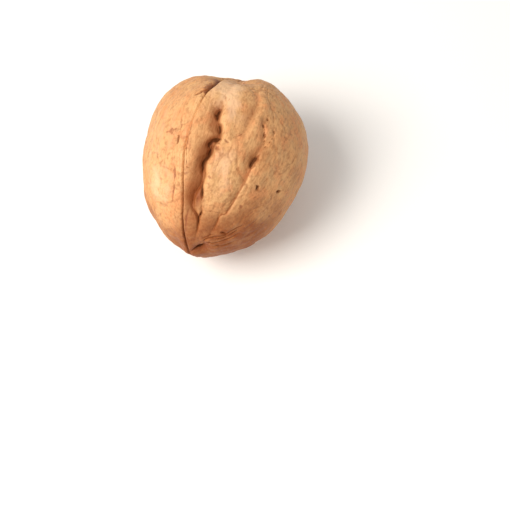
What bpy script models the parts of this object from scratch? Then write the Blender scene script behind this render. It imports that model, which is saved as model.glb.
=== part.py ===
# A whole walnut in its shell, lying on its side with its pointed end towards -Y.
# The shell is one closed solid: a round body, the suture ridge that runs all the way round it
# lengthwise, the furrows, creases and pits of its cheeks, and the small flat it rests on.
# Places on the shell are two angles in degrees: "down" is measured from the pointed tip (0)
# to the stem end (180), and "turn" is measured round the long axis from the upper suture.
# Lengths in the tables are millimetres, and the finished mesh is in metres, +Z up.

import bpy
import bmesh
import numpy as np
from mathutils import Vector, noise

MM = 0.001

# Body
HALF_LENGTH = 21.2  # centre to either end, without the beak
SUTURE_RADIUS = 18.4  # centre to the suture, at the middle of the nut
CHEEK_RADIUS = 18.4  # centre to a cheek, at the middle of the nut
STEM_FULLNESS = 0.163  # share by which the stem half is wider than the tip half
FILL = 0.962  # 1 is an ellipse, and less fills out its corners
BEAK_HEIGHT = 0.8
BEAK_SPREAD = 9.0  # degrees down from the tip
STEM_DIMPLE_DEPTH = 0.7
STEM_DIMPLE_SPREAD = 11.0  # degrees up from the stem end

# How the nut lies
TIP_DROOP = 5.0  # the slimmer tip end sinks by this many degrees
SUTURE_ROLL = 19.0  # turn of the part of the shell that faces straight up
CENTRE_HEIGHT = 17.8  # body centre above the surface, which cuts the small flat
REST_DOWN, REST_TURN = 93.0, 199.0  # the lowest place of the shell
REST_SPREAD = 5.0  # the furrows run out round that place, so the flat is whole

# Mesh: raised on a fine grid, then thinned where the shell is smooth
RINGS = 190
COLUMNS = 240
SUTURE_CROWDING = 1.6  # how much closer the columns stand at a suture
SUTURE_CROWD_SPREAD = 10.0  # degrees
TRIANGLES = 11700

# Upper suture: where its line runs, as (down, turn)
UPPER_LINE = [
    (0, 0.0), (8, 1.5), (15, 3.6), (22, 3.8), (30, 3.5), (38, 3.2), (45, 3.4), (52, 2.8), (60, 1.9),
    (70, 0.5), (78, -1.0), (92, -1.5), (98, -0.8), (105, 0.2), (112, 0.7), (120, 1.3), (125, 1.3),
    (130, 0.9), (136, -0.4), (142, -3.6), (150, -4.5), (160, -3.0), (170, -1.0), (180, 0.0),
]
LOWER_LINE = [
    (0, 180.0), (12, 179.0), (30, 180.5), (55, 181.5), (80, 179.5), (105, 178.5), (130, 180.5),
    (155, 181.0), (180, 180.0),
]
# Height of the lips beside the line, as (down, height)
UPPER_RIGHT_LIP = [
    (0, 0.2), (6, 0.6), (15, 0.8), (40, 0.9), (70, 0.9), (100, 0.9), (125, 0.6), (150, 0.3), (180, 0.0),
]
UPPER_LEFT_LIP = [
    (0, 0.2), (6, 0.45), (15, 0.5), (60, 0.4), (95, 0.35), (112, 0.45), (130, 0.5), (145, 0.5), (180, 0.0),
]
LOWER_LIP = [(0, 0.0), (8, 0.3), (25, 0.65), (60, 0.7), (110, 0.65), (150, 0.45), (170, 0.15), (180, 0.0)]
LIP_RISE = 0.3  # distance from the line over which a lip rises
UPPER_RIGHT_REACH = 3.2
UPPER_LEFT_REACH = 2.4
LOWER_REACH = 2.8
LINE_DEPTH = 0.35
LINE_WIDTH = 0.22

# Furrows: a route of (down, turn, depth) from the stem end towards the tip. Left and right are
# the widths of its two walls where the nut is widest, and edge is the height of the swelling
# that runs along its right-hand side.
FURROWS = {
    "ridge_foot": {
        "route": [
            (150, 17, 0.3), (140, 16, 0.3), (124, 15.5, 0.3), (113, 15, 0.6), (105, 14.5, 1.4),
            (98.5, 15.3, 1.5), (95, 17.6, 1.5), (92, 19.9, 1.4), (88.3, 19.6, 1.6), (85, 17.5, 1.9),
            (80, 17.6, 1.9), (75, 15.5, 1.8), (70, 16, 1.7), (66, 17.8, 1.6), (60, 16.6, 1.5),
            (55, 14.4, 1.3), (50, 13.6, 1.1), (45, 15.4, 0.9), (40.5, 21.2, 0.75), (37, 24.4, 0.65),
            (32, 25.8, 0.5), (27.5, 27, 0.3), (22, 27.5, 0.0),
        ],
        "left": 2.3, "right": 0.75, "edge": 0.4,
    },
    "ridge_foot_branch": {
        "route": [
            (64, 19, 0.4), (58, 20.3, 0.5), (53, 21.8, 0.4), (49, 23.3, 0.25), (45, 25.4, 0.4),
            (41, 25.0, 0.5), (38, 23.8, 0.4),
        ],
        "left": 0.6, "right": 0.6, "edge": 0.1,
    },
    "long_crease": {
        "route": [
            (106, 56.5, 0.0), (101, 55, 0.2), (97, 53.5, 0.35), (91.5, 51, 0.5), (87, 50.3, 0.65),
            (83.5, 49.5, 0.95), (80.5, 49.3, 0.8), (76, 49.2, 0.6), (70, 49.3, 0.55), (62, 49.7, 0.5),
            (56, 50.1, 0.5), (51, 50.2, 0.45), (48.5, 47.2, 0.4), (46, 44.4, 0.35), (42, 46.3, 0.35),
            (37, 47.5, 0.3), (32, 49, 0.2), (27, 51, 0.0),
        ],
        "left": 1.9, "right": 0.35, "edge": 0.2,
    },
    "upper_crease": {
        "route": [
            (116, 45, 0.0), (110, 45, 0.3), (105, 46.8, 0.4), (100, 49.3, 0.45), (95, 50.6, 0.3),
            (91, 51, 0.2),
        ],
        "left": 0.9, "right": 0.7, "edge": 0.05,
    },
    "soft_valley": {
        "route": [
            (134, 32, 0.2), (118, 35.5, 0.5), (111, 35.2, 0.75), (106, 35.5, 0.7), (101, 36, 0.6),
            (97, 34, 0.7), (94, 32, 0.7), (92, 28, 0.55), (89.5, 25, 0.45), (87.5, 25, 0.35),
        ],
        "left": 1.7, "right": 1.0, "edge": 0.35,
    },
    "stem_crack": {
        "route": [
            (107, 0.6, 0.0), (111, 0.7, 0.15), (116, 1.0, 0.4), (121, 1.3, 0.85), (126, 1.2, 1.2),
            (131, 0.7, 1.3), (136, -0.4, 1.4), (142, -3.6, 1.3), (150, -4.5, 1.0), (160, -3.0, 0.5),
            (170, -1.0, 0.0),
        ],
        "left": 1.3, "right": 0.7, "edge": 0.1,
    },
    "left_foot": {
        "route": [
            (110, -3.6, 0.0), (105, -4.2, 0.3), (98, -5.5, 0.4), (94, -7.6, 0.35), (91, -9.3, 0.35),
            (86, -9.8, 0.45), (82, -9.2, 0.4), (76, -7.6, 0.25), (70, -7.4, 0.2), (62, -7.8, 0.25),
            (55, -8.9, 0.5), (49, -10.5, 0.4), (45, -11.6, 0.2), (40, -12.5, 0.0),
        ],
        "left": 1.4, "right": 0.6, "edge": 0.0,
    },
}

WALL_CURVE = 1.5  # 2 gives a round-shouldered wall, and less a sharper foot
EDGE_OFFSET, EDGE_SPREAD = 1.5, 1.3  # distance of the swelling from the furrow, and its half width

# Pits, as (down, turn, depth, radius)
PITS = [
    (83.3, 21.4, 0.8, 0.7), (72.2, 60.5, 0.6, 0.6), (78, 82, 0.4, 0.6), (35.8, 63, 0.5, 0.6),
    (108.5, 46, 0.45, 1.3), (12, 60, 0.9, 1.6), (11, -60, 0.4, 1.8), (98, 28, 0.35, 0.6),
    (86.5, 47, 0.35, 0.9), (87.2, 26.6, 0.15, 1.1), (113, 33, 0.3, 1.2), (51, 18, 0.45, 1.3),
]

# Broad swellings and hollows, as (down, turn, height, radius)
SWELLINGS = [
    (147, 1, -1.75, 5.6), (160, 12, -1.2, 2.4), (145, 24, -0.75, 2.6), (156, 38, 0.05, 5.0),
    (157, -30, -0.3, 4.0), (128, -22, -0.3, 5.0), (146, 52, 0.35, 6.0), (156, 46, 0.25, 4.0),
    (130, -50, 0.5, 8.0), (108, -60, 0.3, 6.0), (54, -68, 0.45, 4.5), (90, -45, -0.3, 6.0),
    (57, 122, 0.7, 6.0), (72, 27, 0.25, 2.6), (102.5, 21.5, 0.35, 1.8), (81, 31, 0.3, 2.4),
    (96, 27, 0.2, 2.0), (64, 36, 0.2, 3.0), (112, 8, 0.3, 4.0), (118, 40, 0.35, 3.5),
    (100, 150, -0.4, 5.0), (70, 225, 0.4, 6.0), (118, 215, 0.4, 6.0), (80, 262, -0.35, 6.0),
    (128, 268, 0.5, 7.0),
]

# Furrows of the cheeks that are set by rule
CHEEK_SEED = 11
CHEEK_FIRST_TURN, CHEEK_LAST_TURN, CHEEK_STEP = 128, 340, 12.6
CHEEK_POINTS = 9
CHEEK_MOST_DEPTH = 1.05
QUIET_FROM = 292  # the left cheek beyond this turn is nearly smooth
QUIET_SHARE = 0.25

# Low relief over the whole shell: lumps and lengthwise ripples
LUMP_SIZE, LUMP_HEIGHT = 8.0, 0.3
RIPPLE_SIZE, RIPPLE_HEIGHT, RIPPLE_STRETCH = 3.6, 0.2, 2.6


def body(down, turn):
    """Points of the smooth body in the nut's own frame: +Z is the tip, +Y the upper suture."""
    t, f = np.radians(down), np.radians(turn)
    along, out = np.cos(t), np.sin(t)
    z = HALF_LENGTH * np.sign(along) * np.abs(along) ** FILL
    z = z + BEAK_HEIGHT * np.exp(-((np.asarray(down) / BEAK_SPREAD) ** 2))
    z = z + STEM_DIMPLE_DEPTH * np.exp(-(((180 - np.asarray(down)) / STEM_DIMPLE_SPREAD) ** 2))
    girth = 1 / np.hypot(np.cos(f) / SUTURE_RADIUS, np.sin(f) / CHEEK_RADIUS)
    r = girth * np.abs(out) ** FILL * (1 - STEM_FULLNESS * along)
    return np.stack([r * np.sin(f), r * np.cos(f), z], -1)


def outward(down, turn, step=0.5):
    """Unit normals of the smooth body."""
    low, high = np.clip(down - step, 0.05, 179.95), np.clip(down + step, 0.05, 179.95)
    lengthwise = body(high, turn) - body(low, turn)
    middle = np.clip(down, 0.05, 179.95)
    across = body(middle, turn + step) - body(middle, turn - step)
    normal = np.cross(lengthwise, across)
    normal /= np.linalg.norm(normal, axis=-1, keepdims=True)
    return normal * np.sign((normal * body(middle, turn)).sum(-1, keepdims=True))


def table(rows, down):
    """The second column of rows at the angle down, with the corners between the rows rounded."""
    first, second = zip(*rows)
    return sum(np.interp(down + shift, first, second) for shift in (-4, -2, 0, 2, 4)) / 5


def wrapped(angle):
    return (angle + 180) % 360 - 180


def smooth_route(route, per_span=5):
    """A Catmull-Rom curve through the route's points, which keeps every column of it."""
    p = np.array(route, float)
    p = np.vstack([2 * p[0] - p[1], p, 2 * p[-1] - p[-2]])
    s = (np.arange(per_span) / per_span)[:, None]
    spans = [
        0.5 * (2 * b + (c - a) * s + (2 * a - 5 * b + 4 * c - d) * s**2 + (3 * b - a - 3 * c + d) * s**3)
        for a, b, c, d in zip(p, p[1:], p[2:], p[3:])
    ]
    return np.vstack([*spans, p[-2:-1]])


def carve(points, turn, route, left, right, edge):
    """Depth that one furrow cuts at each point, and the height of the swelling along its edge."""
    line = smooth_route(route)
    path, depth = body(line[:, 0], line[:, 1]), np.clip(line[:, 2], 0, None)
    nearest = np.full(len(points), np.inf)
    at_depth, at_turn = np.zeros(len(points)), np.zeros(len(points))
    for i in range(len(path) - 1):
        span = path[i + 1] - path[i]
        share = np.clip((points - path[i]) @ span / (span @ span), 0, 1)
        gap = np.linalg.norm(points - path[i] - share[:, None] * span, axis=1)
        closer = gap < nearest
        nearest[closer] = gap[closer]
        at_depth[closer] = (depth[i] + share * (depth[i + 1] - depth[i]))[closer]
        at_turn[closer] = (line[i, 1] + share * (line[i + 1, 1] - line[i, 1]))[closer]
    girth = np.hypot(points[:, 0], points[:, 1]) / SUTURE_RADIUS
    on_right = wrapped(turn - at_turn) > 0
    width = np.where(on_right, right, left) * np.clip(girth, 0.4, 1)
    cut = at_depth * np.exp(-((nearest / width) ** WALL_CURVE))
    crest = np.exp(-(((nearest - EDGE_OFFSET) / EDGE_SPREAD) ** 2))
    return cut, edge * on_right * crest * at_depth / max(depth.max(), 0.1)


def lip(offset, height, reach):
    """A suture lip: it rises close to the line and runs out gently into the cheek."""
    return height * (1 - np.exp(-((offset / LIP_RISE) ** 2))) * np.exp(-((offset / reach) ** 2))


def sutures(down, turn):
    """Height of both suture ridges, with the fine line between their lips."""
    girth = np.hypot(*body(down, turn)[..., :2].T)
    height = np.zeros(len(down))
    for line, right, right_reach, left, left_reach in (
        (UPPER_LINE, UPPER_RIGHT_LIP, UPPER_RIGHT_REACH, UPPER_LEFT_LIP, UPPER_LEFT_REACH),
        (LOWER_LINE, LOWER_LIP, LOWER_REACH, LOWER_LIP, LOWER_REACH),
    ):
        offset = np.radians(wrapped(turn - table(line, down))) * girth
        height += np.where(
            offset > 0,
            lip(offset, table(right, down), right_reach),
            lip(offset, table(left, down), left_reach),
        )
        ends = np.clip(np.minimum(down / 6, (180 - down) / 12), 0, 1)
        height -= LINE_DEPTH * ends * np.exp(-((offset / LINE_WIDTH) ** 2))
    return height


def cheek_furrows():
    """Lengthwise furrows for the rest of the shell, wandering and uneven, the same each run."""
    draw = np.random.default_rng(CHEEK_SEED)
    furrows = []
    for turn in np.arange(CHEEK_FIRST_TURN, CHEEK_LAST_TURN, CHEEK_STEP):
        down = np.linspace(draw.uniform(125, 160), draw.uniform(24, 44), CHEEK_POINTS)
        wander = np.cumsum(draw.normal(0, 3.0, CHEEK_POINTS))
        depth = CHEEK_MOST_DEPTH * draw.uniform(0.2, 1, CHEEK_POINTS) * (draw.random(CHEEK_POINTS) > 0.2)
        depth[[0, -1]] = 0
        depth *= QUIET_SHARE if turn > QUIET_FROM else 1
        width = draw.uniform(0.7, 1.3)
        route = list(zip(down, turn + wander - wander.mean(), depth))
        furrows.append({"route": route, "left": width, "right": 0.8 * width, "edge": 0.15})
    for side in (-1, 1):
        down = np.linspace(138, 34, 12)
        turn = 180 + side * (15 + draw.normal(0, 1.6, 12))
        depth = draw.uniform(0.3, 1.1, 12)
        depth[[0, -1]] = 0
        furrows.append({"route": list(zip(down, turn, depth)), "left": 1.0, "right": 1.0, "edge": 0.1})
    return furrows


def noise_at(points, size, stretch, place):
    """Smooth noise between about -1 and 1, drawn out along the nut by stretch."""
    scaled = points / np.array([size, size, size * stretch]) + place
    return np.array([noise.noise(Vector(p)) for p in scaled])


def relief(down, turn):
    """Height of the shell's surface over the smooth body, in millimetres."""
    points = body(down, turn)
    height = sutures(down, turn)
    for at_down, at_turn, rise, radius in SWELLINGS:
        gap = np.linalg.norm(points - body(at_down, at_turn), axis=1)
        height += rise * np.exp(-((gap / radius) ** 2))
    cut = np.zeros(len(points))
    for furrow in [*FURROWS.values(), *cheek_furrows()]:
        depth, swell = carve(points, turn, **furrow)
        cut = np.maximum(cut, depth)
        height += swell
    for at_down, at_turn, depth, radius in PITS:
        gap = np.linalg.norm(points - body(at_down, at_turn), axis=1)
        cut = np.maximum(cut, depth * np.exp(-((gap / radius) ** 2)))
    gap = np.linalg.norm(points - body(REST_DOWN, REST_TURN), axis=1)
    cut *= 1 - np.exp(-((gap / REST_SPREAD) ** 4))
    calm = np.clip(np.minimum(down / 20, (180 - down) / 14), 0, 1)
    height += LUMP_HEIGHT * calm * noise_at(points, LUMP_SIZE, 1.3, 3.7)
    height += RIPPLE_HEIGHT * calm * noise_at(points, RIPPLE_SIZE, RIPPLE_STRETCH, 11.2)
    return height - cut


def column_turns():
    """Turns of the mesh's columns: one on each suture, closer together beside them."""
    turn = np.linspace(0, 180, 1801)
    beside = np.exp(-((turn / SUTURE_CROWD_SPREAD) ** 2))
    beside += np.exp(-(((180 - turn) / SUTURE_CROWD_SPREAD) ** 2))
    share = np.cumsum(1 + SUTURE_CROWDING * beside)
    share = (share - share[0]) / (share[-1] - share[0])
    half = np.interp(np.arange(COLUMNS // 2) / (COLUMNS // 2), share, turn)
    return np.concatenate([half, half + 180])


def follow_sutures(down, turn):
    """Bends the columns so that the two on the sutures keep to their lines."""
    spread = 2 * SUTURE_CROWD_SPREAD
    upper = table(UPPER_LINE, down) * np.exp(-((wrapped(turn) / spread) ** 2))
    lower = (table(LOWER_LINE, down) - 180) * np.exp(-((wrapped(turn - 180) / spread) ** 2))
    return turn + upper + lower


def shell_points(down, turn):
    return body(down, turn) + outward(down, turn) * relief(down, turn)[:, None]


def lay_down(points):
    """From the nut's own frame to its place on the surface, both in millimetres."""
    droop, roll = np.radians(TIP_DROOP), np.radians(SUTURE_ROLL)
    side = np.array([1.0, 0.0, 0.0])
    top = np.array([0.0, -np.sin(droop), np.cos(droop)])
    tip = np.array([0.0, -np.cos(droop), -np.sin(droop)])
    cheek = side * np.cos(roll) + top * np.sin(roll)
    suture = top * np.cos(roll) - side * np.sin(roll)
    return points @ np.stack([cheek, suture, tip]) + [0, 0, CENTRE_HEIGHT]


def grid_faces(rings, columns):
    """Quads between the rings, and a fan of triangles at either end."""
    tip, stem = rings * columns, rings * columns + 1
    faces = []
    for j in range(columns):
        k = (j + 1) % columns
        faces.append((tip, j, k))
        for i in range(rings - 1):
            a, b = i * columns, (i + 1) * columns
            faces.append((a + j, b + j, b + k, a + k))
        last = (rings - 1) * columns
        faces.append((stem, last + k, last + j))
    return faces


def thin_out(mesh):
    """A copy of the mesh with fewer triangles, kept dense where the surface bends."""
    holder = bpy.data.objects.new("fine", mesh)
    bpy.context.scene.collection.objects.link(holder)
    thinning = holder.modifiers.new("thin", "DECIMATE")
    thinning.ratio = TRIANGLES / (2 * RINGS * COLUMNS)
    graph = bpy.context.evaluated_depsgraph_get()
    thinned = bpy.data.meshes.new_from_object(holder.evaluated_get(graph))
    bpy.data.objects.remove(holder)
    return thinned


def cut_flat(mesh):
    """Cuts off what lies below the surface and closes the cut with one flat face."""
    bm = bmesh.new()
    bm.from_mesh(mesh)
    found = bmesh.ops.bisect_plane(
        bm,
        geom=[*bm.verts, *bm.edges, *bm.faces],
        dist=1e-6,
        plane_co=(0, 0, 0),
        plane_no=(0, 0, -1),
        clear_outer=True,
    )
    rim = [item for item in found["geom_cut"] if isinstance(item, bmesh.types.BMEdge)]
    bmesh.ops.contextual_create(bm, geom=rim)
    bmesh.ops.recalc_face_normals(bm, faces=bm.faces)
    bm.to_mesh(mesh)
    bm.free()


def shell_material():
    material = bpy.data.materials.new("walnut_shell")
    material.use_nodes = True
    shader = material.node_tree.nodes["Principled BSDF"]
    shader.inputs["Base Color"].default_value = (0.61, 0.37, 0.18, 1)
    shader.inputs["Roughness"].default_value = 0.6
    shader.inputs["Metallic"].default_value = 0
    return material


def make_nut():
    down = np.arange(1, RINGS + 1) * 180 / (RINGS + 1)
    down, turn = (a.ravel() for a in np.meshgrid(down, column_turns(), indexing="ij"))
    down, turn = np.append(down, [0.0, 180.0]), np.append(turn, [0.0, 0.0])
    points = lay_down(shell_points(down, follow_sutures(down, turn)))
    middle = (points.min(0) + points.max(0)) / 2
    points = (points - [middle[0], middle[1], 0]) * MM
    fine = bpy.data.meshes.new("fine")
    fine.from_pydata(points.tolist(), [], grid_faces(RINGS, COLUMNS))
    mesh = thin_out(fine)
    mesh.name = "walnut"
    cut_flat(mesh)
    mesh.shade_smooth()
    mesh.materials.append(shell_material())
    nut = bpy.data.objects.new("walnut", mesh)
    bpy.context.scene.collection.objects.link(nut)


for old in list(bpy.data.objects):
    bpy.data.objects.remove(old)
make_nut()
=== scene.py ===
# A whole walnut lying on its side on a pale table, in soft light from the upper left.
import math

import bpy
import numpy as np
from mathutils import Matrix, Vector, noise


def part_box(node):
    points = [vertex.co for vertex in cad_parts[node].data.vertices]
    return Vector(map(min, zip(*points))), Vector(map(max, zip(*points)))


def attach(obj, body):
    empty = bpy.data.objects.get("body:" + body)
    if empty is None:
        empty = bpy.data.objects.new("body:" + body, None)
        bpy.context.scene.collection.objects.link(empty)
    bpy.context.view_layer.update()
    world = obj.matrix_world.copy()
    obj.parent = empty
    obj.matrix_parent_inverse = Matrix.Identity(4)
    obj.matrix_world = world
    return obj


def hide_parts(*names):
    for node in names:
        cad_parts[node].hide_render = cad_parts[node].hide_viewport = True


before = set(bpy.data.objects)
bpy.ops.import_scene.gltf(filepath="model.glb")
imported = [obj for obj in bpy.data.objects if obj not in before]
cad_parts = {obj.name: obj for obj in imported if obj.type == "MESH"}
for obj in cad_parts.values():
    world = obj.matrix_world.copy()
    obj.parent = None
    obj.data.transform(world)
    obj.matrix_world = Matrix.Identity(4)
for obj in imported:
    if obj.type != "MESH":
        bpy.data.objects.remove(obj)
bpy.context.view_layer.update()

mm = 0.001

# Places on the shell are two angles in degrees: down is measured from the pointed tip (0) to
# the stem end (180), and turn is measured round the long axis from the upper suture.
# Lengths in the settings are millimetres unless they say otherwise.

body = {
    "halfLength": 21.2,     # centre to either end
    "sutureRadius": 18.4,   # centre to the suture, at the middle of the nut
    "cheekRadius": 18.4,    # centre to the side, halfway between the two sutures
    "stemFullness": 0.163,  # the stem half is wider than the tip half by this share
    "fill": 0.962,          # 1 is an ellipse, less fills out its corners
    "beak": (0.8, 9.0),     # height, and spread in degrees
    "stemDimple": (0.7, 11.0),  # depth, and spread in degrees
    "tipDroop": 5.0,        # degrees that the tip hangs below level
    "roll": 19.0,           # turn of the part of the shell that faces straight up
    "centreHeight": 17.8,   # above the table, which flattens the nut's underside a little
    "rest": (93, 199, 5.0),     # down and turn of the lowest place, and how far furrows stay off it
    "rings": 258,
    "columns": (206, 180),  # from the upper suture to the lower one, and on round to the upper
    # turns where columns stand closer, as (turn, share, spread)
    "crowding": [(0, 1.0, 10), (32, 0.9, 30), (180, 0.6, 10), (360, 1.0, 12)],
    "bend": 22.0,           # degrees over which columns bend to follow a suture
}

suture = {
    "upperLine": [
        (0, 0.0), (8, 1.5), (15, 3.6), (22, 3.8), (30, 3.5), (38, 3.2), (45, 3.4), (52, 2.8), (60, 1.9),
        (70, 0.5), (78, -1.0), (92, -1.5), (98, -0.8), (105, 0.2), (112, 0.7), (120, 1.3), (125, 1.3),
        (130, 0.9), (136, -0.4), (142, -3.6), (150, -4.5), (160, -3.0), (170, -1.0), (180, 0.0),
    ],
    "lowerLine": [
        (0, 180.0), (12, 179.0), (30, 180.5), (55, 181.5), (80, 179.5), (105, 178.5), (130, 180.5),
        (155, 181.0), (180, 180.0),
    ],
    # heights of the lips, as (down, height)
    "upperRight": [
        (0, 0.2), (6, 0.6), (15, 0.8), (40, 0.9), (70, 0.9), (100, 0.9), (125, 0.6), (150, 0.3),
        (180, 0.0),
    ],
    "upperLeft": [
        (0, 0.2), (6, 0.45), (15, 0.5), (60, 0.4), (95, 0.35), (112, 0.45), (130, 0.5), (145, 0.5),
        (180, 0.0),
    ],
    "lower": [
        (0, 0.0), (8, 0.3), (25, 0.65), (60, 0.7), (110, 0.65), (150, 0.45), (170, 0.15), (180, 0.0),
    ],
    "rise": 0.3,            # distance from the line over which a lip rises
    "reach": (3.2, 2.4, 2.8),   # how far each lip goes: upper right, upper left, both lower
    "lineDepth": 0.35,
    "lineWidth": 0.2,
    "lineStart": (6, 12),   # degrees from the tip and the stem end over which the line begins
    "fullWidth": 0.1,       # half width from which the line is cut to its full depth
    # half width of the dark line, as (down, half width)
    "darkUpper": [
        (0, 0.25), (10, 0.3), (22, 0.22), (40, 0.14), (66, 0.11), (78, 0.09), (86, 0.05), (108, 0.04),
        (118, 0.18), (150, 0.25), (180, 0.1),
    ],
    "darkLower": [(0, 0.2), (60, 0.12), (120, 0.1), (180, 0.1)],
}

# Furrows: a route of (down, turn, depth) from the stem end towards the tip, the widths of the
# two walls at the nut's middle, and the height of the swelling along the right-hand side
furrows = {
    "ridgeFoot": {
        "route": [
            (150, 17, 0.3), (140, 16, 0.3), (124, 15.5, 0.3), (113, 15, 0.6), (105, 14.5, 1.4),
            (98.5, 15.3, 1.5), (95, 17.6, 1.5), (92, 19.9, 1.4), (88.3, 19.6, 1.6), (85, 17.5, 1.9),
            (80, 17.6, 1.9), (75, 15.5, 1.8), (70, 16, 1.7), (66, 17.8, 1.6), (60, 16.6, 1.5),
            (55, 14.4, 1.3), (50, 13.6, 1.1), (45, 15.4, 0.9), (40.5, 21.2, 0.75), (37, 24.4, 0.65),
            (32, 25.8, 0.5), (27.5, 27, 0.3), (22, 27.5, 0.0),
        ],
        "left": 2.3, "right": 0.75, "edge": 0.4,
    },
    "ridgeFootBranch": {
        "route": [
            (64, 19, 0.4), (58, 20.3, 0.5), (53, 21.8, 0.4), (49, 23.3, 0.25), (45, 25.4, 0.4),
            (41, 25.0, 0.5), (38, 23.8, 0.4),
        ],
        "left": 0.6, "right": 0.6, "edge": 0.1,
    },
    "longCrease": {
        "route": [
            (106, 56.5, 0.0), (101, 55, 0.2), (97, 53.5, 0.35), (91.5, 51, 0.5), (87, 50.3, 0.65),
            (84.5, 49.6, 0.85), (81.5, 49.3, 0.8), (77, 49.2, 0.6), (70, 49.3, 0.55), (62, 49.7, 0.5),
            (56, 50.1, 0.5), (51, 50.2, 0.45), (48.5, 47.2, 0.4), (46, 44.4, 0.35), (42, 46.3, 0.35),
            (37, 47.5, 0.3), (32, 49, 0.2), (27, 51, 0.0),
        ],
        "left": 1.9, "right": 0.35, "edge": 0.2,
    },
    "upperCrease": {
        "route": [
            (116, 45, 0.0), (110, 45, 0.3), (105, 46.8, 0.4), (100, 49.3, 0.45), (95, 50.6, 0.3),
            (91, 51, 0.2),
        ],
        "left": 0.9, "right": 0.7, "edge": 0.05,
    },
    "softValley": {
        "route": [
            (134, 36, 0.2), (120, 38.5, 0.6), (112.5, 38.2, 0.85), (107, 37.0, 0.8), (101.5, 36.6, 0.65),
            (97.5, 36.2, 0.55), (94.5, 33.6, 0.45), (92.2, 30.4, 0.35), (91, 28, 0.1),
        ],
        "left": 2.2, "right": 1.1, "edge": 0.3,
    },
    "stemCrack": {
        "route": [
            (107, 0.6, 0.0), (111, 0.7, 0.15), (116, 1.0, 0.4), (121, 1.3, 0.85), (126, 1.2, 1.2),
            (131, 0.7, 1.3), (136, -0.4, 1.4), (142, -3.6, 1.3), (150, -4.5, 1.0), (160, -3.0, 0.5),
            (170, -1.0, 0.0),
        ],
        "left": 1.3, "right": 0.7, "edge": 0.1,
    },
    "leftFoot": {
        "route": [
            (110, -3.6, 0.0), (105, -4.2, 0.3), (98, -5.5, 0.4), (94, -7.6, 0.35), (91, -9.3, 0.35),
            (86, -9.8, 0.45), (82, -9.2, 0.4), (76, -7.6, 0.25), (70, -7.4, 0.2), (62, -7.8, 0.25),
            (55, -8.9, 0.5), (49, -10.5, 0.4), (45, -11.6, 0.2), (40, -12.5, 0.0),
        ],
        "left": 1.4, "right": 0.6, "edge": 0.0,
    },
}

# The walls of a furrow, and the swelling beside it
wall = {
    "curve": 1.5,           # 2 makes a round bottom, and less a sharper one
    "edgeOffset": 1.5,      # from the furrow's middle to the top of the swelling
    "edgeSpread": 1.3,
    "leastShare": 0.4,      # walls narrow with the nut towards its ends, down to this share
    "leastDepth": 0.1,      # keeps a faint furrow's swelling from dividing by nothing
    "reach": 7,             # how far off a point can be and still be touched by a furrow
}

# Round hollows, as (down, turn, depth, radius)
pits = [
    (83.3, 21.4, 0.8, 0.7), (108.5, 46, 0.45, 1.3), (12, 60, 0.9, 1.6), (11, -60, 0.4, 1.8),
    (98, 28, 0.15, 0.5), (86.5, 47, 0.35, 0.9), (87.2, 26.6, 0.15, 1.1), (113, 33, 0.3, 1.2),
    (51, 18, 0.45, 1.3),
]

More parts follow.
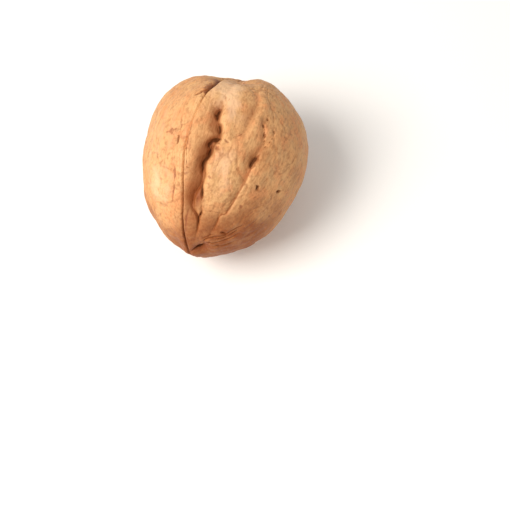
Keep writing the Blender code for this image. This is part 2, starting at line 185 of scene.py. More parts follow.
# Dark clefts and short holes, as routes of (down, turn, half width); those under about 0.2 mm
# are lines on the shell that the mesh is too coarse to cut at their true width
# their brown, near black in the core, is painted shade inside the cracks, holes and wrinkles
clefts = {
    "footTop": [
        (107.5, 13.2, 0.05), (106, 14.2, 0.35), (103.5, 13.6, 0.42), (100.8, 14.2, 0.38),
        (99, 15.0, 0.1), (97.2, 16.4, 0.15), (95.4, 18.2, 0.4), (93.2, 19.4, 0.36), (91.6, 19.8, 0.16),
        (89.6, 20.6, 0.06),
    ],
    "footSmear": [(104, 11.5, 0.1), (102.8, 12.2, 0.25), (101.3, 13, 0.15)],
    "footArc": [
        (88.6, 22.4, 0.1), (88.8, 20.4, 0.48), (88.2, 18.3, 0.6), (87.2, 15.8, 0.42),
        (84.9, 14.3, 0.48), (83.8, 14.3, 0.4), (82.4, 15.0, 0.2),
    ],
    "footMiddle": [
        (85.0, 15.8, 0.1), (83.2, 16.2, 0.2), (79.8, 16.4, 0.46), (77.3, 16.4, 0.5), (74.4, 14.2, 0.48),
        (71.7, 14.0, 0.42), (70.1, 14.8, 0.32), (67.7, 15.3, 0.22), (64.5, 16.6, 0.08),
        (61.1, 16.8, 0.12), (58.7, 17.1, 0.16), (56.2, 14.7, 0.1), (54.0, 12.8, 0.08),
        (49.9, 12.8, 0.06), (45.9, 12.7, 0.08), (43.2, 14.7, 0.15), (40.7, 19.2, 0.18),
        (37.8, 23.0, 0.22), (35.3, 24.6, 0.22), (31.5, 25.6, 0.14), (26.6, 27.4, 0.05),
    ],
    "footBranch": [
        (62.3, 18.7, 0.14), (59.1, 19.1, 0.28), (56.7, 20.4, 0.33), (54.0, 21.5, 0.22),
        (52, 21.8, 0.05), (49.7, 22.1, 0.02), (45.0, 24.9, 0.05), (41.4, 24.6, 0.2), (39, 23.8, 0.18),
        (37.6, 23.2, 0.15),
    ],
    "crease": [
        (89.6, 51.8, 0.06), (88.2, 51.4, 0.12), (87.0, 51.0, 0.26), (85.6, 50.6, 0.38),
        (83.8, 50.1, 0.32), (82.0, 49.8, 0.36), (80.8, 49.8, 0.26), (79.4, 50.0, 0.1),
        (77.8, 50.0, 0.1), (74.6, 50.0, 0.14), (71.5, 50.3, 0.17), (68.3, 50.3, 0.12),
        (64.7, 50.3, 0.11), (62.0, 50.5, 0.11), (58.5, 50.5, 0.1), (54.0, 50.6, 0.1), (50.1, 50.2, 0.1),
        (48.3, 49.2, 0.08), (46.8, 46.3, 0.11), (44.3, 45.6, 0.1), (41.2, 46.8, 0.08),
        (36.2, 48.6, 0.07), (32.9, 50.2, 0.03),
    ],
    "creaseTop": [
        (106.8, 46.1, 0.05), (105.6, 47.1, 0.22), (104.3, 48.2, 0.08), (102, 49.2, 0.09),
        (100.7, 50.1, 0.24), (99.3, 50.6, 0.1), (97.5, 51.2, 0.08), (95.1, 52.3, 0.06),
        (93.2, 52.9, 0.03),
    ],
    "sideCrease": [
        (107.2, 53.2, 0.02), (105.4, 56.0, 0.08), (104, 56.5, 0.06), (99.3, 55.5, 0.04),
        (97.1, 54.7, 0.05), (92.4, 52.7, 0.02),
    ],
    "stemCrack": [
        (109.5, 0.7, 0.02), (112.5, 0.7, 0.08), (114.5, 0.9, 0.24), (117, 1.0, 0.45), (120.5, 1.3, 0.58),
        (125, 1.2, 0.62), (130, 0.6, 0.5), (136, -0.9, 0.6), (142, -4.0, 0.6), (150, -4.5, 0.3),
        (160, -3, 0.1),
    ],
    "stemDash": [
        (112.2, -7.6, 0.05), (113.2, -5.4, 0.22), (114.6, -3.7, 0.28), (117, -2.2, 0.16),
        (119.5, -0.6, 0.12),
    ],
    "doubleLine": [
        (69.2, 3.9, 0.03), (75.3, 2.2, 0.05), (79.1, 1.1, 0.08), (82.5, 0.7, 0.08), (84.9, 0.5, 0.07),
        (89.4, 0.3, 0.07), (94.2, -0.2, 0.03),
    ],
    "doubleLineEnd": [(68.8, 3.8, 0.07), (69.0, 5.4, 0.07), (69.3, 7.4, 0.03)],
    "hookHole": [(72.9, 60.0, 0.16), (72.6, 61.4, 0.3), (71.3, 62.2, 0.28)],
    "sideHole": [(78.6, 83.0, 0.2), (77.4, 81.2, 0.3)],
    "tipHole": [(36.6, 67.5, 0.05), (35.9, 65.0, 0.22), (35.4, 61.8, 0.26), (35.1, 59.5, 0.08)],
    "tipHollow": [(6, 34, 0.1), (9, 50, 0.34), (11.5, 59, 0.55), (13.5, 60, 0.45), (16, 58, 0.15)],
    "upperDot": [(111.5, 48.0, 0.1), (110.7, 48.6, 0.18)],
    "tipWrinkleA": [
        (20.5, 46.8, 0.07), (25.4, 51.5, 0.13), (29.3, 59.1, 0.08), (34.4, 67.6, 0.12),
        (39.1, 69.2, 0.06), (44.5, 72.2, 0.09), (48.8, 75.2, 0.03),
    ],
    "tipWrinkleB": [
        (27.2, 63.1, 0.05), (31.7, 69.7, 0.11), (35.1, 72.4, 0.06), (40, 74.1, 0.1), (43.9, 75.6, 0.03),
    ],
    "tipWrinkleC": [
        (20.0, 55, 0.05), (22.5, 65.4, 0.11), (26.8, 73.1, 0.07), (32.4, 77.2, 0.12),
        (38.5, 79.3, 0.07), (43, 81, 0.03),
    ],
    "tipWrinkleD": [(20.7, 73.9, 0.04), (25, 85.7, 0.09), (31.7, 90.1, 0.1), (38.7, 90.6, 0.03)],
    "tipWrinkleE": [(23, 42.5, 0.03), (27.5, 48.5, 0.08), (31, 54, 0.03)],
    "leftHole": [(86.4, -10.8, 0.1), (85.6, -9.8, 0.25), (82.4, -9.6, 0.22), (81.4, -10.2, 0.05)],
}

# Shallow brown marks, and painted shade, as routes of (down, turn, half width)
marksAndShade = {
    "redPit": [(84.4, 19.6, 0.2), (83.6, 21.0, 0.4), (83.1, 22.4, 0.35), (83.3, 23.8, 0.1)],
    "redPitTop": [(86.4, 20.6, 0.1), (86.0, 22.2, 0.18), (85.6, 23.6, 0.1)],
    "middleDot": [(98.3, 27.8, 0.15), (97.7, 28.2, 0.15)],
    "ridgeTopSpot": [(116, 15, 0.15), (114.5, 15.5, 0.2)],
    "valleySpot": [(88.8, 25.4, 0.15), (88.2, 27.2, 0.25), (88.0, 29.0, 0.1)],
    "sideSpot": [(70.6, 101.5, 0.4), (70.2, 102.5, 0.3)],
    "faintHole": [(57.8, 57.6, 0.3), (57.3, 60.0, 0.2)],
    "lowSpotA": [(57.3, 92.0, 0.3), (56.8, 92.6, 0.2)],
    "lowSpotB": [(64, 91.5, 0.2), (63.6, 92.2, 0.3)],
    "lowSpotC": [(44.8, 63.2, 0.25), (44.4, 63.9, 0.15)],
    "midSpot": [(66.6, 22.6, 0.3), (65.8, 23.6, 0.2)],
    "lowStreakA": [(47, 80, 0.08), (52, 81.5, 0.3), (57, 82, 0.1)],
    "lowStreakB": [(42, 92, 0.08), (47, 94, 0.35), (52, 94.5, 0.12)],
    "lowStreakC": [(53, 70, 0.06), (57.5, 71.5, 0.2), (61, 73, 0.06)],
    "leftSmear": [(90.2, -12.5, 0.1), (89.2, -15, 0.4), (88.4, -17.5, 0.65), (87.8, -20.5, 0.2)],
    "leftSpot": [(92.2, -9.4, 0.35), (91.2, -9.0, 0.25)],
    "leftSlim": [
        (57.5, -8.4, 0.12), (55.6, -8.8, 0.45), (53.7, -9.3, 0.25), (49.2, -10.5, 0.25),
        (45.2, -11.6, 0.08),
    ],
    "leftSoft": [(68, -8, 0.1), (65, -7.4, 0.4), (62, -7.6, 0.35), (59.5, -8, 0.1)],
    "sideLine": [(74.5, 77.0, 0.08), (72, 79.5, 0.14), (69.9, 82.4, 0.08)],
    # painted shade: the shadow of the stem crack's overhanging left lip
    "crackWallShade": [
        (129, -3.6, 0.2), (125, -2.6, 0.7), (121, -1.4, 0.8), (117.5, -0.9, 0.6), (114.5, -0.6, 0.2),
    ],
    "ridgeFacet": [
        (44.5, 10.6, 0.06), (40, 9.9, 0.16), (34.2, 9.6, 0.16), (28.6, 9.3, 0.1), (24, 9, 0.04),
    ],
    # tipShade, islandShade and footShade are painted shade: in the hollow by the tip, on the low island
    # shaded by the ridge, and at the ridge's foot
    "tipShade": [(6, 30, 0.4), (9, 48, 1.1), (13, 56, 1.4), (18, 58, 1.0), (22, 60, 0.3)],
    "islandShade": [(59, 17.5, 0.3), (56.5, 18.2, 0.5), (53.5, 18.6, 0.5), (50, 18.2, 0.2)],
    "footShade": [
        (87, 15.2, 0.3), (85, 15.4, 0.8), (82.5, 15.8, 1.0), (79.5, 15.6, 0.6), (77, 15.2, 0.2),
    ],
    "valleyLine": [(97.4, 36.2, 0.04), (94.2, 33.6, 0.1), (92.2, 30.4, 0.08), (91.2, 28.6, 0.02)],
    "acrossLine": [
        (45.0, 24.9, 0.05), (46.1, 30.4, 0.1), (47.0, 35.1, 0.12), (47.0, 40.8, 0.1), (47.5, 46, 0.05),
    ],
}

# How the clefts and marks are cut into the shell
cuts = {
    "cleftDepth": 0.5,
    "markDepth": 0.15,
    "least": 0.22,          # half width below which a cut is made shallower in place of narrower
    "rim": 0.13,            # lighter rim round a cleft's dark core
    "leastWidth": 0.02,     # keeps a route's thin ends from dividing by nothing
    "reach": 2,             # how far off a point can be and still be touched by a route
}
far = 4.0                   # widths from a line beyond which the finish takes no notice of it

# Stains that the husk left, and painted shade, as (down, turn, strength, radius): brown above 0 and pale
# below it
# painted shade among them: the broad one low on the right cheek, the one beside the tip, those by the
# stem crack's overhanging left lip, and the one on the island by the ridge's foot
stainsAndShade = [
    (32, 95, 1.15, 12.0), (16, 78, 0.6, 6.0), (18, -40, 0.3, 6.0), (30, 170, 0.7, 9.0),
    (165, 60, 0.4, 7.0), (75, 205, 0.6, 9.0), (130, 240, 0.5, 8.0), (50, 285, 0.4, 7.0),
    (90, 130, 0.3, 9.0), (160, 170, 0.6, 8.0), (52, 15, 0.8, 1.9), (60, 11, 0.6, 2.4),
    (70, 10.5, 0.5, 2.2), (80, 10.5, 0.6, 2.0), (91, 13.5, 0.4, 2.6), (42, -62, 0.3, 4.0),
    (138, -6, 0.8, 2.2), (121, -1.5, 0.5, 1.3), (108, 47, 0.6, 1.2), (86, 46.5, 0.6, 1.7),
    (78, 40, 0.25, 1.8), (50, 8, 0.35, 2.0), (39, 9, 0.25, 3.0), (91, 53, 0.5, 2.0),
    (76, 30, -0.4, 4.0), (103, 24, -0.35, 3.0), (118, 20, -0.55, 4.0), (126, 12, -0.5, 3.5),
    (123, 27, 0.4, 1.3), (116, 29, 0.35, 1.2), (110, 31, 0.3, 1.2), (55, 75, 0.15, 5.0),
    (48, 84, 0.3, 1.8), (56, 92, 0.15, 2.2), (44, 72, -0.4, 1.8), (60, 84, -0.45, 2.2),
    (70, 95, 0.3, 2.5), (84, 80, -0.25, 3.0), (66, 66, 0.25, 2.0), (92, 88, 0.3, 3.0),
    (60, 34, -0.4, 4.0), (85, -30, -0.2, 7.0), (56, -28, -0.5, 5.0), (40, -30, -0.3, 4.0),
    (110, 240, -0.4, 6.0), (60, 160, -0.3, 7.0),
]

# Swellings, and broad hollows where the height is below 0, as (down, turn, height, radius)
swellings = [
    (147, 1, -1.75, 5.6), (160, 12, -1.2, 2.4), (145, 24, -0.75, 2.6), (156, 38, 0.05, 5.0),
    (157, -30, -0.3, 4.0), (128, -22, -0.3, 5.0), (146, 52, 0.35, 6.0), (156, 46, 0.25, 4.0),
    (130, -50, 0.5, 8.0), (108, -60, 0.3, 6.0), (54, -68, 0.45, 4.5), (90, -45, -0.3, 6.0),
    (57, 122, 0.7, 6.0), (72, 27, 0.25, 2.6), (102.5, 21.5, 0.35, 1.8), (81, 31, 0.3, 2.4),
    (96, 27, 0.2, 2.0), (64, 36, 0.2, 3.0), (112, 8, 0.3, 4.0), (118, 40, 0.35, 3.5),
    (100, 150, -0.4, 5.0), (70, 225, 0.4, 6.0), (118, 215, 0.4, 6.0), (80, 262, -0.35, 6.0),
    (128, 268, 0.5, 7.0),
]

# Furrows of the other cheeks, set by rule
cheeks = {
    "seed": 11,
    "turns": (128, 340, 12.6),  # first, last and step
    "points": 9,
    "from": (125, 160),     # down, where a furrow begins
    "to": (24, 44),         # down, where it ends
    "wander": 3.0,          # degrees of turn from point to point
    "gaps": 0.2,            # share of the points at which a furrow fades out
    "mostDepth": 1.05,
    "depthShare": (0.2, 1),     # of the most, at each point
    "width": (0.7, 1.3),
    "rightWall": 0.8,       # share of the left wall's width
    "edge": 0.15,
    "quietFrom": 292,       # beyond this turn the left cheek is nearly smooth
    "quietShare": 0.25,
}

# The two furrows that run beside the lower suture
footRows = {
    "down": (138, 34), "points": 12, "away": 15, "wander": 1.6, "depth": (0.3, 1.1), "width": 1.0,
    "edge": 0.1,
}

# Low relief: (size, height, lengthwise stretch, place in the noise)
lumps = (8.0, 0.3, 1.3, 3.7)
ripples = (3.6, 0.2, 2.6, 11.2)
calmEnds = 14               # degrees from either end over which the relief fades in


def bodyPoints(down, turn):
    # the smooth body in the nut's own frame: +Z is the tip, +Y the upper suture
    t, f = np.radians(down), np.radians(turn)
    along, out = np.cos(t), np.sin(t)
    z = body["halfLength"] * np.sign(along) * np.abs(along) ** body["fill"]
    z = z + body["beak"][0] * np.exp(-((np.asarray(down) / body["beak"][1]) ** 2))
    z = z + body["stemDimple"][0] * np.exp(-(((180 - np.asarray(down)) / body["stemDimple"][1]) ** 2))
    girth = 1 / np.hypot(np.cos(f) / body["sutureRadius"], np.sin(f) / body["cheekRadius"])
    r = girth * np.abs(out) ** body["fill"] * (1 - body["stemFullness"] * along)
    return np.stack([r * np.sin(f), r * np.cos(f), z], -1)


def bodyNormals(down, turn, step=0.5):
    # taken a hair off the two ends, where the turn means nothing
    low, middle, high = (np.clip(down + away, 0.05, 179.95) for away in (-step, 0, step))
    normal = np.cross(
        bodyPoints(high, turn) - bodyPoints(low, turn),
        bodyPoints(middle, turn + step) - bodyPoints(middle, turn - step),
    )
    normal /= np.linalg.norm(normal, axis=-1, keepdims=True)
    return normal * np.sign((normal * bodyPoints(middle, turn)).sum(-1, keepdims=True))


def readTable(rows, down):
    # a table's value at each place, averaged over 8 degrees so that a line bends without a kink
    first, second = zip(*rows)
    return sum(np.interp(down + shift, first, second) for shift in (-4, -2, 0, 2, 4)) / 5


def wrapped(angle):
    return (angle + 180) % 360 - 180


def smoothRoute(route, perSpan=5):
    # Catmull-Rom through every column of the route
    p = np.array(route, float)
    p = np.vstack([2 * p[0] - p[1], p, 2 * p[-1] - p[-2]])
    s = (np.arange(perSpan) / perSpan)[:, None]
    spans = [
        0.5 * (2 * b + (c - a) * s + (2 * a - 5 * b + 4 * c - d) * s**2 + (3 * b - a - 3 * c + d) * s**3)
        for a, b, c, d in zip(p, p[1:], p[2:], p[3:])
    ]
    return np.vstack([*spans, p[-2:-1]])


def nearestOnRoute(points, line, reach):
    # distance from each point to the route, with the route's turn and third value there
    path = bodyPoints(line[:, 0], line[:, 1])
    nearest = np.full(len(points), 99.0)    # more than twice the nut's length
    found = np.zeros((len(points), 2))
    near = np.where(((points > path.min(0) - reach) & (points < path.max(0) + reach)).all(1))[0]
    for i in range(len(path) - 1):
        span = path[i + 1] - path[i]
        share = np.clip((points[near] - path[i]) @ span / (span @ span), 0, 1)
        gap = np.linalg.norm(points[near] - path[i] - share[:, None] * span, axis=1)
        closer = gap < nearest[near]
        at = near[closer]
        nearest[at] = gap[closer]
        found[at] = line[i, 1:] + share[closer, None] * (line[i + 1, 1:] - line[i, 1:])
    return nearest, found[:, 0], np.clip(found[:, 1], 0, None)


def carve(points, turn, route, left, right, edge):
    # how deep a furrow cuts each point, and how far the swelling beside it lifts it
    line = smoothRoute(route)
    nearest, atTurn, depth = nearestOnRoute(points, line, wall["reach"])
    girth = np.hypot(points[:, 0], points[:, 1]) / body["sutureRadius"]
    onRight = wrapped(turn - atTurn) > 0
    width = np.where(onRight, right, left) * np.clip(girth, wall["leastShare"], 1)
    cut = depth * np.exp(-((nearest / width) ** wall["curve"]))
    crest = np.exp(-(((nearest - wall["edgeOffset"]) / wall["edgeSpread"]) ** 2))
    return cut, edge * onRight * crest * depth / max(line[:, 2].max(), wall["leastDepth"])


def thinRoutes(points, routes):
    # how cut each point is (0 to 1), its distance to the nearest route in half widths there, and
    # the same for the dark core inside the rim
    least, leastWidth = cuts["least"], cuts["leastWidth"]
    cut, gap, core = np.zeros(len(points)), np.full(len(points), far), np.full(len(points), far)
    for route in routes.values():
        nearest, _, width = nearestOnRoute(points, smoothRoute(route), cuts["reach"])
        wide = np.maximum(width, least)
        cut = np.maximum(cut, np.clip(width / least, 0, 1) * np.exp(-((nearest / wide) ** 2)))
        gap = np.minimum(gap, nearest / np.maximum(width, leastWidth))
        core = np.minimum(core, nearest / np.maximum(width - cuts["rim"], leastWidth))
    return cut, gap, core


def lip(offset, height, reach):
    # a lip rises at once beside the line and falls off slowly from there
    return height * (1 - np.exp(-((offset / suture["rise"]) ** 2))) * np.exp(-((offset / reach) ** 2))


def sutureRelief(down, turn):
    # height of the lips and the line between them, and the distance to the line in half widths
    girth = np.hypot(*bodyPoints(down, turn)[..., :2].T)
    height, gap = np.zeros(len(down)), np.full(len(down), far)
    rightReach, leftReach, lowerReach = suture["reach"]
    tipEnd, stemEnd = suture["lineStart"]
    for line, dark, right, rightTo, left, leftTo in (
        ("upperLine", "darkUpper", "upperRight", rightReach, "upperLeft", leftReach),
        ("lowerLine", "darkLower", "lower", lowerReach, "lower", lowerReach),
    ):
        offset = np.radians(wrapped(turn - readTable(suture[line], down))) * girth
        height += np.where(
            offset > 0,
            lip(offset, readTable(suture[right], down), rightTo),
            lip(offset, readTable(suture[left], down), leftTo),
        )
        width = readTable(suture[dark], down)
        ends = np.clip(np.minimum(down / tipEnd, (180 - down) / stemEnd), 0, 1)
        height -= suture["lineDepth"] * ends * np.clip(width / suture["fullWidth"], 0, 1) * np.exp(
            -((offset / suture["lineWidth"]) ** 2))
        gap = np.minimum(gap, np.abs(offset) / width)
    return height, gap


def cheekFurrows():
    draw = np.random.default_rng(cheeks["seed"])
    count = cheeks["points"]
    made = []
    for turn in np.arange(*cheeks["turns"]):
        down = np.linspace(draw.uniform(*cheeks["from"]), draw.uniform(*cheeks["to"]), count)
        wander = np.cumsum(draw.normal(0, cheeks["wander"], count))
        depth = cheeks["mostDepth"] * draw.uniform(*cheeks["depthShare"], count)
        depth *= draw.random(count) > cheeks["gaps"]
        depth[[0, -1]] = 0
        depth *= cheeks["quietShare"] if turn > cheeks["quietFrom"] else 1
        width = draw.uniform(*cheeks["width"])
        route = list(zip(down, turn + wander - wander.mean(), depth))
        made.append({
            "route": route, "left": width, "right": cheeks["rightWall"] * width, "edge": cheeks["edge"],
        })
    count, width = footRows["points"], footRows["width"]
    for side in (-1, 1):
        down = np.linspace(*footRows["down"], count)
        turn = 180 + side * (footRows["away"] + draw.normal(0, footRows["wander"], count))
        depth = draw.uniform(*footRows["depth"], count)
        depth[[0, -1]] = 0
        route = list(zip(down, turn, depth))
        made.append({"route": route, "left": width, "right": width, "edge": footRows["edge"]})
    return made


def noiseAt(points, size, stretch, place):
    scaled = points / np.array([size, size, size * stretch]) + place
    return np.array([noise.noise(Vector(p)) for p in scaled])


# Relief finer than the furrows
fine = {
    # thin veins, drawn where a stretched noise crosses zero: (size, stretch, width, depth, place)
    "veins": [(5.5, 2.4, 0.05, 0.14, 21.3), (3.1, 2.0, 0.06, 0.09, 33.9), (1.7, 1.8, 0.09, 0.045, 47.1)],
    # soft mottled bumps: (size, height, stretch, place)
    "bumps": [(1.9, 0.12, 1.4, 5.1), (0.95, 0.05, 1.3, 8.6)],
    # where veins show and where they fade out: (size, stretch, place, middle, contrast)
    "fade": (6.0, 1.4, 61.7, 0.5, 1.4),
    "leastVein": 0.05,      # keeps a faded vein from dividing by nothing
    "atEnds": 0.6,          # share of the veins and bumps that is left at the nut's ends
    # small dimples, scattered at random
    "dimples": {"seed": 4, "count": 420, "radius": (0.2, 0.55), "depth": (0.02, 0.1)},
}


def fineRelief(points, calm):
    # returns the height, and how far each point is from a vein in the vein's own widths
    height, gap = np.zeros(len(points)), np.full(len(points), far)
    size, stretch, place, middle, contrast = fine["fade"]
    fade = np.clip(middle + contrast * noiseAt(points, size, stretch, place), 0, 1)
    deepest = fine["veins"][0][3]
    for size, stretch, width, depth, place in fine["veins"]:
        away = np.abs(noiseAt(points, size, stretch, place)) / width
        height -= depth * np.exp(-(away**2)) * fade * calm
        gap = np.minimum(gap, away / np.maximum(fade * depth / deepest, fine["leastVein"]))
    for size, rise, stretch, place in fine["bumps"]:
        height += rise * calm * noiseAt(points, size, stretch, place)
    draw = np.random.default_rng(fine["dimples"]["seed"])
    for centre in draw.choice(len(points), fine["dimples"]["count"], replace=False):
        radius = draw.uniform(*fine["dimples"]["radius"])
        depth = draw.uniform(*fine["dimples"]["depth"])
        away = np.linalg.norm(points - points[centre], axis=1)
        height -= depth * np.exp(-((away / radius) ** 2))
    return height, gap


def shellRelief(down, turn):
    # height over the smooth body, with what the finish reads: how deep each point lies, which becomes
    # painted shade, how stained it is and how much shade is painted there, and how far it is from the
    # suture line, a cleft, a mark (some marks are painted shade) and a vein
    points = bodyPoints(down, turn)
    height, sutureGap = sutureRelief(down, turn)
    for atDown, atTurn, rise, radius in swellings:
        away = np.linalg.norm(points - bodyPoints(atDown, atTurn), axis=1)
        height += rise * np.exp(-((away / radius) ** 2))
    cut = np.zeros(len(points))
    for furrow in [*furrows.values(), *cheekFurrows()]:
        depth, swell = carve(points, turn, **furrow)
        cut = np.maximum(cut, depth)
        height += swell
    for atDown, atTurn, depth, radius in pits:
        away = np.linalg.norm(points - bodyPoints(atDown, atTurn), axis=1)
        cut = np.maximum(cut, depth * np.exp(-((away / radius) ** 2)))
    restDown, restTurn, restSpread = body["rest"]
    away = np.linalg.norm(points - bodyPoints(restDown, restTurn), axis=1)
    cut *= 1 - np.exp(-((away / restSpread) ** 4))
    cleft, cleftGap, coreGap = thinRoutes(points, clefts)
    markAndShade, markAndShadeGap, _ = thinRoutes(points, marksAndShade)
    calm = np.clip(np.minimum(down / calmEnds, (180 - down) / calmEnds), 0, 1)
    for size, rise, stretch, place in (lumps, ripples):
        height += rise * calm * noiseAt(points, size, stretch, place)
    stainedAndShaded = np.zeros(len(points))
    for atDown, atTurn, strength, radius in stainsAndShade:
        away = np.linalg.norm(points - bodyPoints(atDown, atTurn), axis=1)
        stainedAndShaded += strength * np.exp(-((away / radius) ** 2))
    small, veinGap = fineRelief(points, fine["atEnds"] + (1 - fine["atEnds"]) * calm)
    height += small - cut - cuts["cleftDepth"] * cleft - cuts["markDepth"] * markAndShade
    gaps = {
        "sutureGap": sutureGap, "cleftGap": cleftGap, "coreGap": coreGap, "markAndShadeGap": markAndShadeGap,
        "veinGap": veinGap,
    }
    gaps = {name: np.minimum(gap, far) for name, gap in gaps.items()}
    return height, {"hollowShade": cut, "stainAndShade": stainedAndShaded, **gaps}


def columnTurns():
    # the turn of each column of the mesh, closer together where the shell has most detail
    turns = []
    for start, count in zip((0, 180), body["columns"]):
        turn = np.linspace(start, start + 180, 1801)
        crowd = sum(more * np.exp(-(((turn - at) / wide) ** 2)) for at, more, wide in body["crowding"])
        share = np.cumsum(1 + crowd)
        share = (share - share[0]) / (share[-1] - share[0])
        turns.append(np.interp(np.arange(count) / count, share, turn))
    return np.concatenate(turns)


def followSutures(down, turn):
    # bends the columns so that the two on the sutures keep to their lines
    bent = turn.copy()
    for line, at in (("upperLine", 0), ("lowerLine", 180)):
        near = np.exp(-((wrapped(turn - at) / body["bend"]) ** 2))
        bent += (readTable(suture[line], down) - at) * near
    return bent


def layDown(points):
    # from the nut's own frame to its place on the table, both in millimetres
    droop, roll = math.radians(body["tipDroop"]), math.radians(body["roll"])
    side = np.array([1.0, 0.0, 0.0])
    top = np.array([0.0, -math.sin(droop), math.cos(droop)])
    tip = np.array([0.0, -math.cos(droop), -math.sin(droop)])
    cheek = side * math.cos(roll) + top * math.sin(roll)
    upper = top * math.cos(roll) - side * math.sin(roll)
    return points @ np.stack([cheek, upper, tip]) + [0, 0, body["centreHeight"]]


def gridFaces(rings, columns):
    # quads between the rings, and a fan of triangles to the tip and to the stem end
    tip, stem = rings * columns, rings * columns + 1
    faces = []
    for j in range(columns):
        k = (j + 1) % columns
        faces.append((tip, j, k))
        for i in range(rings - 1):
            a, b = i * columns, (i + 1) * columns
            faces.append((a + j, b + j, b + k, a + k))
        last = (rings - 1) * columns
        faces.append((stem, last + k, last + j))
    return faces


def makeShell():
    # returns the piece and the nut's middle, which the camera and the light aim at
    columns = columnTurns()
    down = np.arange(1, body["rings"] + 1) * 180 / (body["rings"] + 1)
    down, turn = (a.ravel() for a in np.meshgrid(down, columns, indexing="ij"))
    down, turn = np.append(down, [0.0, 180.0]), np.append(turn, [0.0, 0.0])
    turn = followSutures(down, turn)
    height, masks = shellRelief(down, turn)
    own = bodyPoints(down, turn) + bodyNormals(down, turn) * height[:, None]
    placed = layDown(own)
    low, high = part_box("walnut")
    centre = np.array([(low.x + high.x) / 2, (low.y + high.y) / 2]) / mm
    shift = centre - (placed[:, :2].min(0) + placed[:, :2].max(0)) / 2
    placed[:, :2] += shift
    placed[:, 2] = np.maximum(placed[:, 2], 0)     # the small flat that it rests on
    mesh = bpy.data.meshes.new("walnutShell")
    mesh.from_pydata((placed * mm).tolist(), [], gridFaces(body["rings"], len(columns)))
    mesh.update()
    mesh.shade_smooth()
    for name, values in masks.items():
        mesh.attributes.new(name, "FLOAT", "POINT").data.foreach_set("value", values.astype(np.float32))
    # the nut's own frame in millimetres, so that grain and fibres run along the nut
    mesh.attributes.new("nutPlace", "FLOAT_VECTOR", "POINT").data.foreach_set(
        "vector", own.astype(np.float32).ravel())
    piece = bpy.data.objects.new("walnutShell", mesh)
    bpy.context.scene.collection.objects.link(piece)
    middle = Vector((shift[0], shift[1], body["centreHeight"])) * mm
    print("shell:", len(mesh.vertices), "points,", 2 * len(mesh.polygons) - 2 * len(columns), "triangles")
    return piece, middle


def linear(hexColour):
    # sRGB hex to the linear colour that a shader takes
    parts = [int(hexColour[i:i + 2], 16) / 255 for i in (1, 3, 5)]
    return [c / 12.92 if c <= 0.04045 else ((c + 0.055) / 1.055) ** 2.4 for c in parts] + [1.0]


def addNode(tree, kind, inputs=None, **settings):
    node = tree.nodes.new(kind)
    for name, value in settings.items():
        setattr(node, name, value)
    for name, value in (inputs or {}).items():
        if isinstance(value, bpy.types.NodeSocket):
            tree.links.new(value, node.inputs[name])
        else:
            node.inputs[name].default_value = value
    return node


# Walnut shell, ripened on the tree, washed and dried in warm air: hard, woody and unpolished,
# so it gives the eye a dry tan with a faint broad sheen, browner wherever washing missed it.
# Shade is painted into the colour too: in furrows, pits and clefts, low on the right cheek, by the tip
# and by the stem crack.
shellFinish = {
    "tan": "#d5a06b",
    "roughness": (0.5, 0.68),   # lowest and highest, following the grain
    "ior": 1.53,            # wood fibre, cellulose
    "specular": 0.25,       # less than a smooth surface's 0.5, because fine pores swallow some
    "bumpDepth": 0.1,       # mm
    "bumpStrength": 0.5,
    "fibreShare": 0.6,      # height of the fibres beside that of the grain
    "sunk": (1.2, 0.4, -1.2),   # cleft widths where it begins and is full, and its height then
    "mirrorLoss": (0.6, 2.4, 0.05),     # cleft widths where it is full and ends, and the sheen left
    # noises, as (mm across, lengthwise stretch, detail, lowest and highest value used);
    # real fibres are 0.1 mm or less across, and are drawn coarser so that they show
    "noises": {
        "cloud": (7.0, 1.5, 4, 0.36, 0.64),
        "patch": (2.2, 1.4, 5, 0.4, 0.64),
        "blush": (2.8, 1.2, 4, 0.45, 0.65),
        "fibre": (0.4, 6.0, 3, 0.34, 0.66),
        "grain": (0.7, 1.2, 5, 0.32, 0.68),
    },
    # the noise that each of these wanders with, and how far, in its own unit
    "wander": {
        "hollowShade": ("grain", 0.5),
        "stainAndShade": ("patch", 0.35),
        "cleftGap": ("grain", 0.5),
        "coreGap": ("grain", 0.4),
        "sutureGap": ("grain", 0.7),
        "markAndShadeGap": ("grain", 1.2),
        "veinGap": ("grain", 1.0),
    },
    # colour laid over colour, as (mask, where it starts, where it is full, strength, colour)
    "layers": [
        ("cloud", 0, 1, 0.42, "#c8824c"),
        ("patch", 0, 1, 0.5, "#e3b983"),
        ("blush", 0.3, 1, 0.45, "#da8a58"),
        ("stainAndShade", 0, 1.1, 0.93, "#823c08"),     # left by the husk's juice, and painted shade low on the right cheek, by the tip and by the stem crack
        ("patch", 0.2, 1, 0.22, "#c98f5a"),     # rubbed paler where nuts knock together
        ("grain", 0.45, 1, 0.15, "#c98f5a"),
        ("fibre", 0.6, 0, 0.28, "#8c4d24"),
        ("grain", 0.6, 0, 0.4, "#8e5127"),
        ("stainAndShade", -0.05, -0.8, 0.6, "#efc8a0"),     # paler where the mask is below 0
        ("veinGap", 1.4, 0.3, 0.35, "#96592f"),
        # marks, and painted shade at the stem crack, the tip, the island and the ridge's foot
        ("markAndShadeGap", 1.5, 0.4, 0.6, "#87482a"),
        # painted shade: the deeper a furrow or pit cuts, the browner the shell is painted, for the shade
        # inside it
        ("hollowShade", 0.2, 1.2, 0.75, "#864820"),
        ("sutureGap", 2.0, 0.6, 0.68, "#82461f"),
        # painted shade inside the clefts: brown along them and near black in their cores
        ("cleftGap", 2.2, 0.8, 0.65, "#7c4020"),
        ("coreGap", 1.3, 0.7, 0.8, "#42200a"),
    ],
}


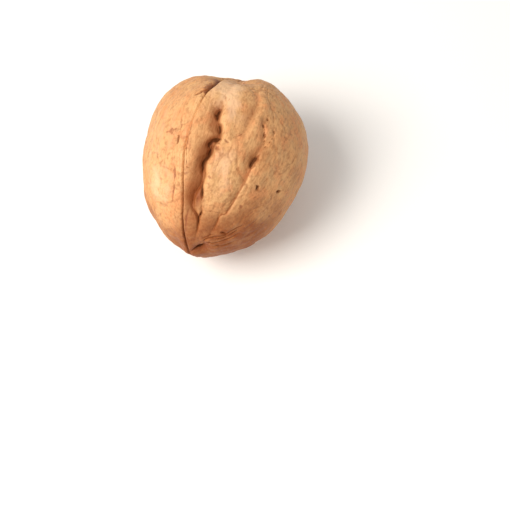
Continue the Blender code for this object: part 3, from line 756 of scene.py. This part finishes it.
def makeShellMaterial():
    # noises and what the relief left on the points become masks, and each mask mixes in a colour
    look = shellFinish
    material = bpy.data.materials.new("driedWalnutShell")
    material.use_nodes = True
    tree = material.node_tree
    place = addNode(tree, "ShaderNodeAttribute", attribute_name="nutPlace").outputs["Vector"]
    masks = {}
    for name, (size, stretch, detail, low, high) in look["noises"].items():
        scaled = addNode(tree, "ShaderNodeMapping", {
            "Vector": place, "Scale": (1 / size, 1 / size, 1 / (size * stretch))})
        pattern = addNode(tree, "ShaderNodeTexNoise", {
            "Vector": scaled.outputs["Vector"], "Scale": 1.0, "Detail": detail})
        masks[name] = addNode(tree, "ShaderNodeMapRange", {
            "Value": pattern.outputs["Fac"], "From Min": low, "From Max": high}).outputs["Result"]
    for name, (noisy, amount) in look["wander"].items():
        base = addNode(tree, "ShaderNodeAttribute", attribute_name=name).outputs["Fac"]
        centred = addNode(tree, "ShaderNodeMath", {0: masks[noisy], 1: 0.5}, operation="SUBTRACT")
        masks[name] = addNode(tree, "ShaderNodeMath", {
            0: centred.outputs[0], 1: amount, 2: base}, operation="MULTIPLY_ADD").outputs[0]

    colour = linear(look["tan"])
    for mask, start, full, strength, tint in look["layers"]:
        share = addNode(tree, "ShaderNodeMapRange", {
            "Value": masks[mask], "From Min": start, "From Max": full, "To Max": strength,
        }, interpolation_type="SMOOTHSTEP")
        colour = addNode(tree, "ShaderNodeMix", {
            0: share.outputs["Result"], 6: colour, 7: linear(tint)}, data_type="RGBA").outputs[2]

    # fibres and sandy grain stand up a little, and clefts go down
    fibres = addNode(tree, "ShaderNodeMath", {
        0: masks["fibre"], 1: look["fibreShare"], 2: masks["grain"]}, operation="MULTIPLY_ADD")
    start, full, lowest = look["sunk"]
    sunk = addNode(tree, "ShaderNodeMapRange", {
        "Value": masks["cleftGap"], "From Min": start, "From Max": full, "To Max": lowest})
    height = addNode(tree, "ShaderNodeMath", {
        0: fibres.outputs[0], 1: sunk.outputs["Result"]}, operation="ADD")
    bump = addNode(tree, "ShaderNodeBump", {
        "Height": height.outputs[0], "Strength": look["bumpStrength"],
        "Distance": look["bumpDepth"] * mm})
    gloss = addNode(tree, "ShaderNodeMapRange", {
        "Value": masks["grain"], "To Min": look["roughness"][0], "To Max": look["roughness"][1]})
    shader = tree.nodes["Principled BSDF"]
    tree.links.new(colour, shader.inputs["Base Color"])
    tree.links.new(gloss.outputs["Result"], shader.inputs["Roughness"])
    tree.links.new(bump.outputs["Normal"], shader.inputs["Normal"])
    shader.inputs["IOR"].default_value = look["ior"]
    # inside a cleft there is next to nothing for the surface to mirror
    full, end, left = look["mirrorLoss"]
    mirrored = addNode(tree, "ShaderNodeMapRange", {
        "Value": masks["cleftGap"], "From Min": full, "From Max": end, "To Min": left,
        "To Max": look["specular"]})
    tree.links.new(mirrored.outputs["Result"], shader.inputs["Specular IOR Level"])
    return material


# Matt-painted board: no gloss, so it gives the eye a plain pale ground with soft shadows.
table = {
    "colour": "#f5f4f2",
    "roughness": 0.9,
    "side": 3.0,            # m
    "drop": 0.05,           # a hair low, so that the board doesn't lie in the nut's own flat
}


def makeTable():
    material = bpy.data.materials.new("mattPaintedBoard")
    material.use_nodes = True
    shader = material.node_tree.nodes["Principled BSDF"]
    shader.inputs["Base Color"].default_value = linear(table["colour"])
    shader.inputs["Roughness"].default_value = table["roughness"]
    half = table["side"] / 2
    mesh = bpy.data.meshes.new("table")
    z = -table["drop"] * mm
    corners = [(-half, -half, z), (half, -half, z), (half, half, z), (-half, half, z)]
    mesh.from_pydata(corners, [], [(0, 1, 2, 3)])
    mesh.materials.append(material)
    board = bpy.data.objects.new("table", mesh)
    bpy.context.scene.collection.objects.link(board)


# The photograph is imagePx wide and high, and the nut's middle is at nutPx in it.
camera = {
    "imagePx": 510,
    "nutPx": (221.4, 166.3),
    "lens": 99.7,           # mm, on a sensor 36 mm wide
    "sensor": 36.0,
    "distance": 325.0,      # mm from the nut's middle
    "azimuth": 18.2,        # degrees round from straight in front of the tip
    "elevation": 67.4,      # degrees above level
    "nearest": 0.01,        # m, where the view begins
}


def makeCamera(middle):
    # stands so that the nut's middle falls on nutPx; returns the camera's turn for the light
    data = bpy.data.cameras.new("photoCamera")
    data.lens = camera["lens"]
    data.sensor_width = camera["sensor"]
    data.clip_start = camera["nearest"]
    eye = bpy.data.objects.new("photoCamera", data)
    bpy.context.scene.collection.objects.link(eye)
    around, up = math.radians(camera["azimuth"]), math.radians(camera["elevation"])
    back = Vector((math.sin(around) * math.cos(up), -math.cos(around) * math.cos(up), math.sin(up)))
    turned = (-back).to_track_quat("-Z", "Y")
    centrePx = camera["imagePx"] / 2
    lensPx = camera["imagePx"] * camera["lens"] / camera["sensor"]
    nutX, nutY = camera["nutPx"]
    sight = Vector((nutX - centrePx, centrePx - nutY, -lensPx)).normalized()
    eye.rotation_mode = "QUATERNION"
    eye.rotation_quaternion = turned
    eye.location = middle - (turned @ sight) * camera["distance"] * mm
    bpy.context.scene.camera = eye
    return turned


# One large soft box to the upper left of the view, and an even white room.
lights = {
    "keyFrom": (-0.54, 0.08, 0.8),  # in the camera's own right, up and back
    "keyAway": 0.45,        # m
    "keySize": 0.26,        # m
    "keyPower": 2.35,       # W
    "keyColour": "#fffaf4",
    "room": 0.6,            # strength of the room's light
    "roomColour": "#fffcf8",
}


def makeLights(middle, turned):
    data = bpy.data.lights.new("softBox", "AREA")
    data.size = lights["keySize"]
    data.energy = lights["keyPower"]
    data.color = linear(lights["keyColour"])[:3]
    box = bpy.data.objects.new("softBox", data)
    bpy.context.scene.collection.objects.link(box)
    towards = (turned @ Vector(lights["keyFrom"])).normalized()
    box.location = middle + towards * lights["keyAway"]
    box.rotation_mode = "QUATERNION"
    box.rotation_quaternion = (-towards).to_track_quat("-Z", "Y")
    room = bpy.data.worlds.new("room")
    room.use_nodes = True
    background = room.node_tree.nodes["Background"]
    background.inputs["Color"].default_value = linear(lights["roomColour"])
    background.inputs["Strength"].default_value = lights["room"]
    bpy.context.scene.world = room


shell, middle = makeShell()
shell.data.materials.append(makeShellMaterial())
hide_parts("walnut")
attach(shell, "root")
print("shell: finished and standing for the CAD nut")
makeTable()
turned = makeCamera(middle)
makeLights(middle, turned)
bpy.context.scene.view_settings.view_transform = "Standard"
print("table, camera and lights: in place")
